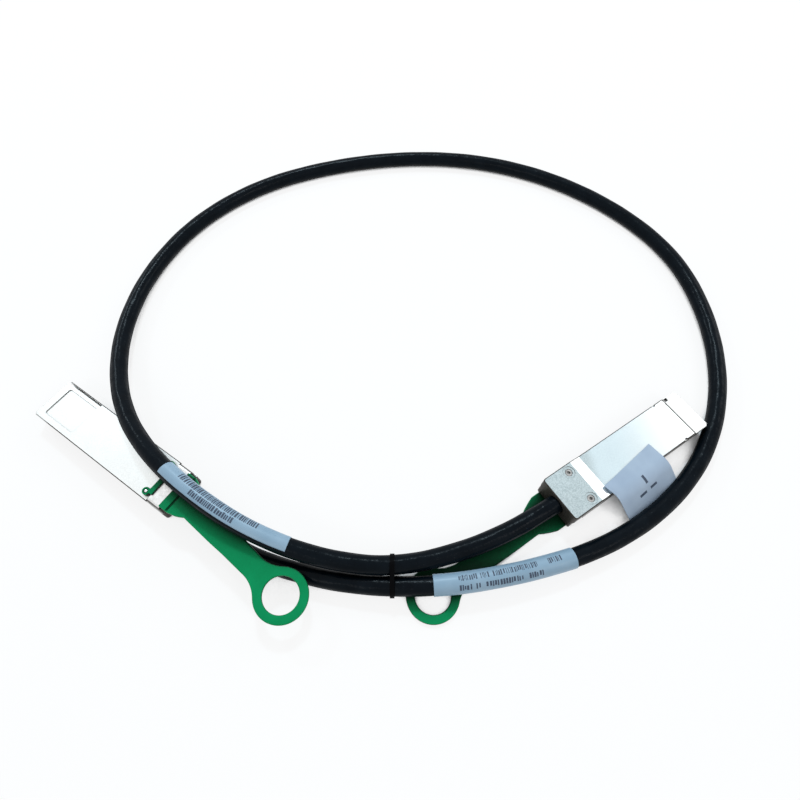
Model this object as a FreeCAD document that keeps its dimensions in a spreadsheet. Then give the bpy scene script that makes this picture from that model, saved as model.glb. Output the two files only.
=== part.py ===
# Direct attach copper cable: two latching pluggable connectors joined by one round
# cable, tied once, with two wrap labels on the cable and a paper flag on one connector.
# Millimetres, Z up, the floor at Z = 0.
#
# A connector is drawn in its own frame: X from the cable end (0) to the nose, Y across,
# Z from the latch side (0) towards the screw side.  Its placement puts it on the floor.
import FreeCAD, Part
import math
import os
import re
import Sketcher

from FreeCAD import Placement, Rotation, Vector

doc = FreeCAD.newDocument("DirectAttachCable")


# ---------------------------------------------------------------- driving dimensions

SIZES = (
    # connector housing
    ("plug_length", 72.4, "connector, cable end to nose"),
    ("half_width", 9.175, "connector, half its width"),
    ("parting", 5.0, "height of the joint between the two housings, and of the cable axis"),
    ("cover_top", 8.5, "screw side of the slim part"),
    ("block_top", 10.0, "screw side of the rear block"),
    ("block_end", 13.3, "front end of the rear block"),
    ("slope_length", 5.2, "slope in front of the rear block"),
    ("slope_end", "=block_end+slope_length", "where the slope meets the slim part"),
    ("nose_length", 7.8, "nose in front of the cover"),
    ("cover_end", "=plug_length-nose_length", "front end of the cover"),
    ("nose_gap", 0.8, "gap between the cover and the cheeks"),
    ("cheek_start", "=cover_end+nose_gap", "rear end of the nose cheeks"),
    ("cheek_step", 0.9, "cheeks below the cover's top"),
    ("cheek_top", "=cover_top-cheek_step", "height of the nose cheeks"),
    ("cheek_lip", 0.1, "how far a cheek stands in over the cavity"),
    ("cheek_inside", "=cavity_half-cheek_lip", "inner face of the nose cheeks"),
    ("nose_chamfer", 0.9, "corner cut at the nose"),
    ("nose_plate", 0.8, "screw side wall of the nose"),
    ("tool_notch_length", 1.8, "notch beside the nose plate, length"),
    ("tool_notch_width", 1.3, "notch beside the nose plate, width"),
    ("tool_notch_depth", 1.0, "notch beside the nose plate, depth"),
    ("tool_notch_side", 0.35, "notch beside the nose plate, from the side"),
    ("tool_notch_outer", "=half_width-tool_notch_side", "notch, outer edge"),
    ("floor_wall", 1.2, "latch side wall"),
    ("roof_wall", 1.2, "screw side wall"),
    ("roof_inside", "=cover_top-roof_wall", "inner face of the cover"),
    ("side_wall", 1.775, "side walls"),
    ("cavity_half", "=half_width-side_wall", "inner half width"),
    ("edge_break", 0.35, "chamfer along outer edges"),
    ("rear_round", 1.2, "radius of the rear corners"),
    # cable entry
    ("cable_diameter", 7.0, "cable over its jacket"),
    ("entry_clearance", 0.1, "cable in its hole in the rear wall"),
    ("entry_radius", "=cable_diameter/2+entry_clearance", "cable hole in the rear wall"),
    ("entry_wall", 3.2, "thickness of the rear wall"),
    ("ferrule_clearance", 0.05, "ferrule on the cable and in its bay"),
    ("ferrule_wall", 0.6, "ferrule, wall"),
    ("ferrule_inner", "=cable_diameter/2+ferrule_clearance", "ferrule, inner radius"),
    ("ferrule_outer", "=ferrule_inner+ferrule_wall", "ferrule, outer radius"),
    ("ferrule_bay", "=ferrule_outer+ferrule_clearance", "radius of the bay round the ferrule"),
    ("ferrule_end", 11.8, "front end of the ferrule"),
    ("cable_inset", 11.0, "how far the cable reaches into a connector"),
    ("edge_notch", 0.8, "round notch in the cover's long edges, radius"),
    ("notch_setback", 5.1, "round notch, behind the cover's end"),
    # nose
    ("slot_length", 20.4, "key slot, length"),
    ("slot_start", "=plug_length-slot_length", "key slot, rear end"),
    ("slot_width", 0.7, "key slot, width"),
    ("slot_inner", "=slot_outer-slot_width", "key slot, inner edge"),
    ("slot_setback", 0.425, "key slot, from the side"),
    ("slot_outer", "=half_width-slot_setback", "key slot, outer edge"),
    ("slot_depth", 3.4, "key slot, depth"),
    ("recess_length", 16.8, "shallow label bed, length"),
    ("recess_margin", 3.4, "shallow label bed, from the nose"),
    ("recess_end", "=plug_length-recess_margin", "shallow label bed, front end"),
    ("recess_start", "=recess_end-recess_length", "shallow label bed, rear end"),
    ("recess_side", 2.625, "shallow label bed, from the sides"),
    ("recess_half", "=half_width-recess_side", "shallow label bed, half width"),
    ("recess_depth", 0.35, "shallow label bed, depth"),
    ("recess_round", 1.0, "shallow label bed, corner radius"),
    # latch guides in the housing
    ("guide_depth", 0.9, "latch guide, depth"),
    ("guide_depth_y", "=half_width-guide_depth", "inner face of the latch guide"),
    ("guide_end", 48.0, "front end of the latch guide"),
    ("guide_low", 1.0, "latch guide, lower edge"),
    ("guide_high", 4.6, "latch guide, upper edge"),
    ("notch_end", 7.0, "front end of the rear notch for the strap"),
    ("notch_bevel", 0.7, "bevel along the rear notch"),
    ("bevel_over", 0.1, "how far the bevel's cut reaches past the faces"),
    ("spring_bay_start", 2.5, "spring pocket, rear end"),
    ("spring_bay_end", 12.0, "spring pocket, front end"),
    ("spring_bay_depth", 1.375, "spring pocket, depth from the guide"),
    ("spring_bay_inner", "=guide_depth_y-spring_bay_depth", "spring pocket, inner face"),
    ("spring_bay_low", 1.2, "spring pocket, lower face"),
    ("spring_bay_high", 3.0, "spring pocket, upper face"),
    # screws
    ("screw_x", 10.25, "cover screws, from the rear face"),
    ("screw_inset", 3.125, "cover screws, from the sides"),
    ("screw_y", "=half_width-screw_inset", "cover screws, from the middle"),
    ("spot_radius", 2.4, "spot face"),
    ("spot_depth", 0.2, "spot face, depth"),
    ("head_bore", 1.45, "bore for the screw head"),
    ("head_depth", 1.6, "screw seat below the block's top"),
    ("head_seat", "=block_top-head_depth", "height of the screw seat"),
    ("head_radius", 1.3, "screw head"),
    ("head_recess", 0.3, "screw head below the block's top"),
    ("head_top", "=block_top-head_recess", "top of the screw head"),
    ("shank_radius", 0.8, "screw shank"),
    ("shank_bore", 0.9, "hole for the shank in the cover"),
    ("thread_bore", 0.85, "hole for the shank in the base"),
    ("thread_floor", 3.2, "bottom of the hole in the base"),
    ("shank_gap", 0.3, "screw tip above the bottom of its hole"),
    ("shank_end", "=thread_floor+shank_gap", "tip of the screw"),
    ("drive_radius", 0.7, "six sided drive recess"),
    ("drive_depth", 0.7, "six sided drive recess, depth"),
    # card
    ("card_start", 22.0, "card, rear end"),
    ("card_setback", 1.6, "card edge behind the nose"),
    ("card_end", "=plug_length-card_setback", "card, front end"),
    ("card_clearance", 0.2, "card beside the side walls"),
    ("card_half", "=cavity_half-card_clearance", "card, half width"),
    ("card_drop", 1.4, "card's lower face below the joint"),
    ("card_low", "=parting-card_drop", "card, lower face"),
    ("card_thickness", 1.0, "card, thickness"),
    ("card_high", "=card_low+card_thickness", "card, upper face"),
    ("rib_rear", 30.0, "rear card rib"),
    ("rib_setback", 6.6, "front card rib, behind the cover's end"),
    ("rib_front", "=cover_end-rib_setback", "front card rib"),
    ("rib_length", 2.0, "card rib, length"),
    ("rib_clearance", 0.4, "cover rib beside the side walls"),
    ("rib_half", "=cavity_half-rib_clearance", "cover rib, half width"),
    ("pad_count", 19, "contact pads on each side of the card"),
    ("pad_pitch", 0.74, "contact pads, pitch"),
    ("pad_width", 0.46, "contact pads, width"),
    ("pad_length", 3.8, "contact pads, length"),
    ("pad_setback", 0.4, "contact pads, behind the card's edge"),
    ("pad_end", "=card_end-pad_setback", "contact pads, front end"),
    ("pad_start", "=pad_end-pad_length", "contact pads, rear end"),
    ("pad_plating", 0.04, "contact pads, thickness"),
    ("chip_x", 45.0, "memory chip, centre"),
    ("chip_side", 3.0, "memory chip, side"),
    ("chip_height", 0.8, "memory chip, height"),
    # wires
    ("wire_diameter", 1.3, "one shielded pair"),
    ("wire_start", 11.2, "wires, rear end"),
    ("wire_end", 26.0, "wires, front end"),
    ("wire_pitch_in", 1.5, "wire spacing in the cable"),
    ("wire_pitch_out", 3.2, "wire spacing on the card"),
    ("wire_gap", 0.04, "wire to card"),
    ("wire_lead", 2.8, "straight end of a wire in the ferrule"),
    ("wire_landing", 6.0, "straight end of a wire on the card"),
    # latch slider
    ("strap_start", 0.3, "strap, rear edge"),
    ("strap_end", 6.3, "strap, front edge"),
    ("strap_outer_z", -1.0, "strap, outer face"),
    ("sheet", 0.4, "thickness of the steel"),
    ("arm_clearance", 0.125, "latch arm beside the bottom of its guide"),
    ("arm_outer", "=guide_depth_y+arm_clearance+sheet", "latch arm, outer face"),
    ("arm_low", 1.3, "latch arm, lower edge"),
    ("arm_high", 4.3, "latch arm, upper edge"),
    ("arm_end", 45.5, "latch arm, tip"),
    ("bend_outer", 1.2, "strap bend, outer radius"),
    ("bump_start", 43.5, "release bump, rear end"),
    ("bump_setback", 0.125, "release bump inside the side"),
    ("bump_outer", "=half_width-bump_setback", "release bump, outer face"),
    ("tang_start", 9.5, "spring tang, rear face"),
    ("tang_end", 10.0, "spring tang, front face"),
    ("tang_clearance", 0.15, "tang beside its pocket"),
    ("tang_inner", "=spring_bay_inner+tang_clearance", "spring tang, inner edge"),
    ("tang_low", 1.5, "spring tang, lower edge"),
    ("tang_high", 2.7, "spring tang, upper edge"),
    # return springs
    ("spring_radius", 0.5, "coil, mean radius"),
    ("spring_wire", 0.1, "wire, radius"),
    ("spring_pitch", 0.76, "coil pitch"),
    ("spring_start", 2.65, "coil, rear end"),
    ("spring_length", 6.7, "coil, length"),
    ("spring_inset", 0.625, "coil axis inside the guide's face"),
    ("spring_y", "=guide_depth_y-spring_inset", "coil axis, from the middle"),
    ("spring_z", 2.1, "coil axis, height"),
    # pull tab
    ("tab_low", -0.2, "tab, face next to the housing"),
    ("tab_high", -1.8, "tab, outer face"),
    ("web_outer", -0.6, "web under the strap, outer face"),
    ("web_clearance", 0.2, "web beside the strap's bends"),
    ("web_half", "=arm_outer-bend_outer-web_clearance", "web under the strap, half width"),
    ("bar_lap", 0.4, "how far a bar laps over the strap"),
    ("front_bar_end", 8.0, "front bar, front edge"),
    ("front_bar_inset", 2.875, "front bar, from the sides"),
    ("front_bar_half", "=half_width-front_bar_inset", "front bar, half width"),
    ("boss_x", 8.8, "boss on the front bar"),
    ("boss_radius", 1.5, "boss on the front bar"),
    ("boss_hole", 0.8, "hole in the boss"),
    ("rear_bar_start", -2.7, "rear bar, rear edge"),
    ("shoulder_x", -3.5, "start of the shoulder"),
    ("shoulder_inset", 1.375, "shoulder, from the sides"),
    ("shoulder_half", "=half_width-shoulder_inset", "half width of the shoulder"),
    ("groove_depth", 0.6, "groove behind the rear bar"),
    ("shoulder_run", 2.5, "shoulder, length of its gently sloping part"),
    ("shoulder_drop", 0.9, "shoulder, how much it narrows there"),
    ("neck_run", 5.5, "shoulder, length to the foot of its steep part"),
    ("neck_drop", 2.2, "shoulder, how much it has narrowed there"),
    ("root_length", 7.0, "shoulder, whole length"),
    ("stem_start", -8.0, "root of the stem"),
    ("stem_half", 4.7, "half width of the stem at its root"),
    ("stem_mid", -24.0, "where the stem starts to narrow"),
    ("stem_waist", 4.2, "half width of the stem at the ring"),
    ("ring_x", -56.2, "centre of the ring"),
    ("ring_outer", 9.7, "ring, outer radius"),
    ("ring_inner", 6.45, "ring, finger hole radius"),
    ("flare", 12.0, "radius between stem and ring"),
    ("tab_round", 0.35, "rounding of the moulding"),
    # labels and tie
    ("label_a_length", 54.5, "first wrap label, along the cable"),
    ("label_a_from", 775.8, "first label, from the cable end in connector A"),
    ("label_b_length", 52.0, "second wrap label, along the cable"),
    ("label_b_from", 115.1, "second label, from the cable end in connector A"),
    ("label_gap", 0.05, "wrap label on the cable"),
    ("label_film", 0.15, "wrap label, thickness"),
    ("label_inner", "=cable_diameter/2+label_gap", "wrap label, inner radius"),
    ("label_outer", "=label_inner+label_film", "wrap label, outer radius"),
    ("tie_gap", 0.15, "cable tie on the cable"),
    ("tie_inner", "=cable_diameter/2+tie_gap", "cable tie, inner radius"),
    ("tie_band", 0.4, "cable tie, band thickness"),
    ("tie_width", 1.6, "cable tie, band width"),
    ("tie_head", 4.8, "cable tie, side of the head"),
    ("tie_head_height", 3.0, "cable tie, height of the head"),
    # paper flag
    ("flag_width", 26.6, "flag, along the connector"),
    ("flag_height", 19.3, "flag, flat size across"),
    ("flag_turn", 6.7, "how far the flag is turned, degrees"),
    ("flag_corner_x", 45.3, "stuck corner nearest the nose"),
    ("flag_corner_y", -2.1, "stuck corner nearest the nose"),
    ("flag_overhang", 0.125, "where the flag folds, beyond the side of the housing"),
    ("flag_slope", 41.5, "how steeply the free part drops, degrees"),
    ("flag_lift", 0.03, "adhesive"),
    ("flag_paper", 0.18, "paper"),
)

# The cable, from inside connector A round to inside connector B.  Between the two ends
# these points are where the tube turns; the run between two of them is straight.
LOOP = (
    (-47.5, -21.0, 5.0),
    (-28.0, -28.1, 4.2),
    (-4.5, -33.2, 4.3),
    (24.0, -34.4, 6.4),
    (56.0, -29.5, 5.7),
    (88.0, -20.0, 3.8),
    (115.5, -3.5, 3.6),
    (136.5, 20.0, 3.6),
    (149.0, 50.0, 3.6),
    (152.5, 85.0, 3.6),
    (145.5, 121.0, 3.6),
    (123.5, 151.5, 3.6),
    (92.0, 175.0, 3.6),
    (55.0, 188.5, 3.6),
    (15.5, 191.0, 3.6),
    (-25.0, 184.0, 3.6),
    (-61.5, 169.0, 3.6),
    (-90.0, 143.5, 3.6),
    (-106.5, 111.5, 3.7),
    (-111.0, 79.5, 5.2),
    (-106.5, 52.0, 8.2),
    (-96.0, 29.5, 12.7),
    (-81.0, 11.4, 16.3),
    (-62.5, -4.0, 17.3),
    (-41.0, -17.0, 15.0),
    (-17.0, -25.2, 10.3),
    (10.0, -28.4, 8.7),
    (38.5, -21.2, 6.8),
)
CABLE_LEAD = -9.5       # where the route leaves a connector's own axis
TURN_SHARE = 0.45       # part of the shorter run that a turn takes up
TIE_X = 9.7             # where the tie holds the two strands together

# How the two connectors lie: place of the rear face, heading of the nose, nose-down
# tilt, and whether the latch side is up.
PLUG_A = ((-70.8, -0.7, 10.39), 145.2, 1.675, True)
PLUG_B = ((70.6, -4.6, 2.10), 33.8, 1.66, False)
# How each pull tab hangs: sideways bend and droop, degrees.
TAB_A = (7.2, 4.6)
TAB_B = (0.7, -2.1)


# ---------------------------------------------------------------- helpers

def fill_sheet():
    sheet = doc.addObject("Spreadsheet::Sheet", "Sizes")
    for row, (alias, value, note) in enumerate(SIZES, start=1):
        sheet.set("A%d" % row, note)
        sheet.set("B%d" % row, str(value))
        sheet.setAlias("B%d" % row, alias)
    doc.recompute()
    return sheet


def bound(text):
    """An expression in which every bare name is a cell of the sheet."""
    return re.sub(r"\b[a-z]\w*\b(?!\()", lambda word: "Sizes." + word.group(0), str(text))


def value_of(text):
    return float(sizes.evalExpression(bound(text)))


def plug_placement(where):
    origin, heading, tilt, flipped = where
    h = math.radians(heading)
    t = math.radians(tilt)
    along = Vector(math.cos(h) * math.cos(t), math.sin(h) * math.cos(t), -math.sin(t))
    across = Vector(-math.sin(h), math.cos(h), 0)
    up = along.cross(across)
    if flipped:
        across, up = across * -1, up * -1
    turn = Rotation(along, across, up, "XYZ")
    return Placement(Vector(*origin), turn)


def add_body(label, placement):
    body = doc.addObject("PartDesign::Body", label)
    body.Label = label
    body.Placement = placement
    return body


def plane_of(body, role):
    return [f for f in body.Origin.OriginFeatures if f.Role == role][0]


def add_sketch(body, name, role, lift):
    sketch = body.newObject("Sketcher::SketchObject", name)
    sketch.AttachmentSupport = [(plane_of(body, role), "")]
    sketch.MapMode = "FlatFace"
    sketch.setExpression("AttachmentOffset.Base.z", bound(lift))
    return sketch


def pin(sketch, geo, point, x, y):
    """Hold one point of the sketch at (x, y) from the origin."""
    for kind, text in (("DistanceX", x), ("DistanceY", y)):
        index = sketch.addConstraint(Sketcher.Constraint(kind, -1, 1, geo, point, value_of(text)))
        sketch.setExpression("Constraints[%d]" % index, bound(text))


def draw_loop(sketch, corners):
    first = sketch.GeometryCount
    spots = [Vector(value_of(x), value_of(y), 0) for x, y in corners]
    count = len(spots)
    for i in range(count):
        sketch.addGeometry(Part.LineSegment(spots[i], spots[(i + 1) % count]), False)
    for i in range(count):
        ahead = first + (i + 1) % count
        sketch.addConstraint(Sketcher.Constraint("Coincident", first + i, 2, ahead, 1))
    for i, (x, y) in enumerate(corners):
        pin(sketch, first + i, 1, x, y)


def draw_circle(sketch, x, y, radius):
    geo = sketch.GeometryCount
    centre = Vector(value_of(x), value_of(y), 0)
    sketch.addGeometry(Part.Circle(centre, Vector(0, 0, 1), value_of(radius)), False)
    pin(sketch, geo, 3, x, y)
    index = sketch.addConstraint(Sketcher.Constraint("Radius", geo, value_of(radius)))
    sketch.setExpression("Constraints[%d]" % index, bound(radius))


def rectangle(x0, x1, y0, y1):
    return [(x0, y0), (x1, y0), (x1, y1), (x0, y1)]


def both_sides(x0, x1, inner, outer):
    """Two rectangles, one on each side of the middle."""
    right = rectangle(x0, x1, inner, outer)
    left = rectangle(x0, x1, "-(%s)" % outer, "-(%s)" % inner)
    return [right, left]


def extrude(body, kind, name, role, lift, height, loops=(), circles=(), back=False, middle=False):
    sketch = add_sketch(body, name + "Sketch", role, lift)
    for corners in loops:
        draw_loop(sketch, corners)
    for circle in circles:
        draw_circle(sketch, *circle)
    before = body.Shape.Volume if body.Tip else 0.0
    feature = body.newObject("PartDesign::" + kind, name)
    feature.Profile = sketch
    feature.setExpression("Length", bound(height))
    feature.Reversed = back
    if middle:
        feature.SideType = "Symmetric"
    doc.recompute()
    change = body.Shape.Volume - before
    if (kind == "Pad") != (change > 0):
        raise ValueError("%s %s changed the volume by %.4f" % (body.Label, name, change))
    return feature


def pad(body, name, role, lift, height, **shape):
    return extrude(body, "Pad", name, role, lift, height, **shape)


def pocket_up(body, name, role, lift, height, **shape):
    """A pocket that runs along the normal of its plane."""
    return extrude(body, "Pocket", name, role, lift, height, back=True, **shape)


def pocket_down(body, name, role, lift, height, **shape):
    return extrude(body, "Pocket", name, role, lift, height, **shape)


def edges_where(shape, test):
    return ["Edge%d" % (i + 1) for i, edge in enumerate(shape.Edges) if test(edge)]


def level(edge, z):
    box = edge.BoundBox
    return abs(box.ZMin - z) < 1e-6 and abs(box.ZMax - z) < 1e-6


def upright(edge):
    box = edge.BoundBox
    return box.ZLength > 0.1 and box.XLength < 1e-6 and box.YLength < 1e-6


def dress(body, kind, name, size, test):
    base = body.Tip
    names = edges_where(base.Shape, test)
    feature = body.newObject("PartDesign::" + kind, name)
    feature.Base = (base, names)
    feature.setExpression("Size" if kind == "Chamfer" else "Radius", bound(size))
    doc.recompute()
    return feature


def add_shape(label, shape, placement):
    """A sub-part whose shape neither a body nor a primitive can give."""
    part = doc.addObject("Part::Feature", label)
    part.Label = label
    part.Shape = shape
    part.Placement = placement
    return part


def add_group(label, members, placement):
    """Like solids that share one node."""
    group = doc.addObject("Part::Compound", label)
    group.Label = label
    group.Links = members
    group.Placement = placement
    return group


def turned_path(points):
    """Straight runs joined by tangent arcs, and the radii of those arcs."""
    edges = []
    radii = []
    last = points[0]
    for before, corner, after in zip(points, points[1:], points[2:]):
        d1 = (corner - before).normalize()
        d2 = (after - corner).normalize()
        half = d1.getAngle(d2) / 2
        cut = TURN_SHARE * min(corner.distanceToPoint(before), corner.distanceToPoint(after))
        radius = cut / math.tan(half)
        inward = (d2 - d1).normalize()
        centre = corner + inward * (radius / math.cos(half))
        start = corner - d1 * cut
        end = corner + d2 * cut
        edges.append(Part.LineSegment(last, start).toShape())
        edges.append(Part.Arc(start, centre - inward * radius, end).toShape())
        radii.append(radius)
        last = end
    edges.append(Part.LineSegment(last, points[-1]).toShape())
    return Part.Wire(edges), radii


def tube(path, radius):
    start = path.OrderedEdges[0]
    section = Part.Circle(start.valueAt(start.FirstParameter),
                          start.tangentAt(start.FirstParameter), radius).toShape()
    return path.makePipeShell([Part.Wire([section])], True, False)


def stretch(path, begin, length):
    """The part of a path from `begin` on, measured along it."""
    edges = []
    passed = 0.0
    for edge in path.OrderedEdges:
        low = max(0.0, begin - passed)
        high = min(edge.Length, begin + length - passed)
        if high - low > 1e-6:
            first = edge.getParameterByLength(low)
            second = edge.getParameterByLength(high)
            edges.append(edge.Curve.toShape(first, second))
        passed += edge.Length
    return Part.Wire(edges)


# ---------------------------------------------------------------- connector

def base_housing(tag, place):
    body = add_body(tag + "base_housing", place)
    outline = [("0", "-half_width"), ("plug_length-nose_chamfer", "-half_width"),
               ("plug_length", "nose_chamfer-half_width"),
               ("plug_length", "half_width-nose_chamfer"),
               ("plug_length-nose_chamfer", "half_width"), ("0", "half_width")]
    pad(body, "Tray", "XY_Plane", "0", "parting", loops=[outline])
    dress(body, "Fillet", "RearCorners", "rear_round",
          lambda e: upright(e) and e.BoundBox.XMax < 0.01)
    dress(body, "Chamfer", "LowerEdge", "edge_break", lambda e: level(e, 0))
    cheek = [("cheek_start", "cheek_inside"), ("plug_length", "cheek_inside"),
             ("plug_length", "half_width-nose_chamfer"),
             ("plug_length-nose_chamfer", "half_width"), ("cheek_start", "half_width")]
    other = [(x, "-(%s)" % y) for x, y in cheek]
    pad(body, "Cheeks", "XY_Plane", "parting", "cheek_top-parting", loops=[cheek, other])
    pocket_up(body, "Cavity", "XY_Plane", "floor_wall", "cover_top",
              loops=[rectangle("block_end", "plug_length+1", "-cavity_half", "cavity_half")])
    ribs = [rectangle(x, x + "+rib_length", "-cavity_half", "cavity_half")
            for x in ("rib_rear", "rib_front")]
    pad(body, "CardRibs", "XY_Plane", "floor_wall", "card_low-floor_wall", loops=ribs)
    pad(body, "NosePlate", "XY_Plane", "cheek_top-nose_plate", "nose_plate",
        loops=[rectangle("cheek_start", "plug_length", "-cavity_half", "cavity_half")])
    pocket_down(body, "ToolNotch", "XY_Plane", "cheek_top", "tool_notch_depth",
                loops=[rectangle("cheek_start", "cheek_start+tool_notch_length",
                                 "tool_notch_outer-tool_notch_width", "tool_notch_outer")])
    pocket_up(body, "CableEntry", "YZ_Plane", "0", "entry_wall",
              circles=[("0", "parting", "entry_radius")])
    pocket_up(body, "FerruleBay", "YZ_Plane", "entry_wall", "block_end-entry_wall",
              circles=[("0", "parting", "ferrule_bay")])
    pocket_up(body, "KeySlot", "XY_Plane", "0", "slot_depth",
              loops=[rectangle("slot_start", "plug_length+1", "slot_inner", "slot_outer")])
    label_bed(body)
    latch_guides(body)
    pocket_down(body, "ScrewHoles", "XY_Plane", "parting", "parting-thread_floor",
                circles=[("screw_x", "screw_y", "thread_bore"),
                         ("screw_x", "-screw_y", "thread_bore")])
    return body


def label_bed(body):
    """Shallow bed with rounded corners on the latch side, near the nose."""
    bed = "recess_half-recess_round"
    pocket_up(body, "BedLong", "XY_Plane", "0", "recess_depth",
              loops=[rectangle("recess_start", "recess_end", "-(%s)" % bed, bed)])
    strips = both_sides("recess_start+recess_round", "recess_end-recess_round",
                        bed, "recess_half")
    pocket_up(body, "BedSides", "XY_Plane", "0", "recess_depth", loops=strips)
    for i, x in enumerate(("recess_start+recess_round", "recess_end-recess_round")):
        pocket_up(body, "BedCorners%d" % i, "XY_Plane", "0", "recess_depth",
                  circles=[(x, bed, "recess_round"), (x, "-(%s)" % bed, "recess_round")])


def latch_guides(body):
    """Side channels for the latch arms, rear notches for the strap, spring pockets."""
    pocket_up(body, "Guides", "XY_Plane", "guide_low", "guide_high-guide_low",
              loops=both_sides("-1", "guide_end", "guide_depth_y", "half_width+1"))
    pocket_up(body, "StrapNotches", "XY_Plane", "-1", "guide_low+1",
              loops=both_sides("-1", "notch_end", "guide_depth_y", "half_width+1"))
    bevel = [("guide_depth_y-notch_bevel", "-bevel_over"),
             ("guide_depth_y+bevel_over", "notch_bevel"),
             ("guide_depth_y+bevel_over", "-bevel_over")]
    other = [("-(%s)" % y, z) for y, z in bevel]
    pocket_up(body, "StrapBevels", "YZ_Plane", "-0.5", "notch_end+0.5", loops=[bevel, other])
    pocket_up(body, "SpringBays", "XY_Plane", "spring_bay_low", "spring_bay_high-spring_bay_low",
              loops=both_sides("spring_bay_start", "spring_bay_end", "spring_bay_inner",
                               "guide_depth_y+0.05"))


def cover_housing(tag, place):
    body = add_body(tag + "cover_housing", place)
    side = [("0", "parting"), ("cover_end", "parting"), ("cover_end", "cover_top"),
            ("slope_end", "cover_top"), ("block_end", "block_top"), ("0", "block_top")]
    pad(body, "Lid", "XZ_Plane", "0", "half_width*2", loops=[side], middle=True)
    dress(body, "Fillet", "RearCorners", "rear_round",
          lambda e: upright(e) and e.BoundBox.XMax < 0.01)
    low = value_of("parting")
    dress(body, "Chamfer", "UpperEdge", "edge_break",
          lambda e: e.BoundBox.ZMin > low + 0.5 and not across_slope(e))
    pocket_up(body, "Cavity", "XY_Plane", "parting", "roof_inside-parting",
              loops=[rectangle("block_end", "cover_end+1", "-cavity_half", "cavity_half")])
    ribs = [rectangle(x, x + "+rib_length", "-rib_half", "rib_half")
            for x in ("rib_rear", "rib_front")]
    pad(body, "CardRibs", "XY_Plane", "card_high", "roof_inside-card_high", loops=ribs)
    pocket_up(body, "CableEntry", "YZ_Plane", "0", "entry_wall",
              circles=[("0", "parting", "entry_radius")])
    pocket_up(body, "FerruleBay", "YZ_Plane", "entry_wall", "block_end-entry_wall",
              circles=[("0", "parting", "ferrule_bay")])
    screws = [("screw_x", "screw_y"), ("screw_x", "-screw_y")]
    pocket_down(body, "SpotFaces", "XY_Plane", "block_top", "spot_depth",
                circles=[(x, y, "spot_radius") for x, y in screws])
    pocket_down(body, "HeadBores", "XY_Plane", "block_top", "block_top-head_seat",
                circles=[(x, y, "head_bore") for x, y in screws])
    pocket_down(body, "ShankHoles", "XY_Plane", "head_seat", "head_seat-parting",
                circles=[(x, y, "shank_bore") for x, y in screws])
    notches = [("cover_end-notch_setback", side + "half_width", "edge_notch")
               for side in ("", "-")]
    pocket_down(body, "EdgeNotches", "XY_Plane", "cover_top", "edge_notch", circles=notches)
    return body


def across_slope(edge):
    """An edge of the cover that runs across it, between two upper faces."""
    box = edge.BoundBox
    return box.XLength < 1e-6 and 1 < box.XMin < value_of("cover_end") - 1


def cover_screws(tag, place):
    screws = []
    for side in (-1, 1):
        body = add_body("%sscrew_%s" % (tag, "left" if side > 0 else "right"), Placement())
        y = "%d*screw_y" % side
        pad(body, "Head", "XY_Plane", "head_seat", "head_top-head_seat",
            circles=[("screw_x", y, "head_radius")])
        pad(body, "Shank", "XY_Plane", "shank_end", "head_seat-shank_end",
            circles=[("screw_x", y, "shank_radius")])
        hexagon = [("screw_x+drive_radius*cos(%d)" % a, y + "+drive_radius*sin(%d)" % a)
                   for a in range(0, 360, 60)]
        pocket_down(body, "Drive", "XY_Plane", "head_top", "drive_depth", loops=[hexagon])
        screws.append(body)
    return add_group(tag + "cover_screws", screws, place)


def paddle_card(tag, place):
    body = add_body(tag + "paddle_card", place)
    pad(body, "Board", "XY_Plane", "card_low", "card_high-card_low",
        loops=[rectangle("card_start", "card_end", "-card_half", "card_half")])
    return body


def contact_pads(tag, place):
    count = int(value_of("pad_count"))
    pitch = value_of("pad_pitch")
    plating = value_of("pad_plating")
    width = value_of("pad_width")
    start = value_of("pad_start")
    length = value_of("pad_end") - start
    pads = []
    for z in (value_of("card_low") - plating, value_of("card_high")):
        for i in range(count):
            y = (i - (count - 1) / 2) * pitch - width / 2
            pads.append(Part.makeBox(length, width, plating, Vector(start, y, z)))
    return add_shape(tag + "contact_pads", Part.makeCompound(pads), place)


def memory_chip(tag, place):
    body = add_body(tag + "memory_chip", place)
    half = "chip_side/2"
    pad(body, "Case", "XY_Plane", "card_high", "chip_height",
        loops=[rectangle("chip_x-" + half, "chip_x+" + half, "-" + half, half)])
    return body


def wire_pairs(tag, place):
    """Eight shielded pairs, four to each side of the card."""
    radius = value_of("wire_diameter") / 2
    inner = value_of("wire_pitch_in")
    outer = value_of("wire_pitch_out")
    axis = value_of("parting")
    clear = radius + value_of("wire_gap")
    start = value_of("wire_start")
    end = value_of("wire_end")
    lead = value_of("wire_lead")
    landing = value_of("wire_landing")
    rows = ((axis + inner / 2, value_of("card_high") + clear),
            (axis - inner / 2, value_of("card_low") - clear))
    wires = []
    for z_in, z_out in rows:
        for step in (-1.5, -0.5, 0.5, 1.5):
            path = [Vector(start, step * inner, z_in), Vector(start + lead, step * inner, z_in),
                    Vector(end - landing, step * outer, z_out), Vector(end, step * outer, z_out)]
            wires.append(tube(turned_path(path)[0], radius))
    return add_shape(tag + "wire_pairs", Part.makeCompound(wires), place)


def crimp_ferrule(tag, place):
    body = add_body(tag + "crimp_ferrule", place)
    pad(body, "Sleeve", "YZ_Plane", "entry_wall", "ferrule_end-entry_wall",
        circles=[("0", "parting", "ferrule_outer")])
    pocket_up(body, "Bore", "YZ_Plane", "entry_wall-1", "ferrule_end",
              circles=[("0", "parting", "ferrule_inner")])
    return body


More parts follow.
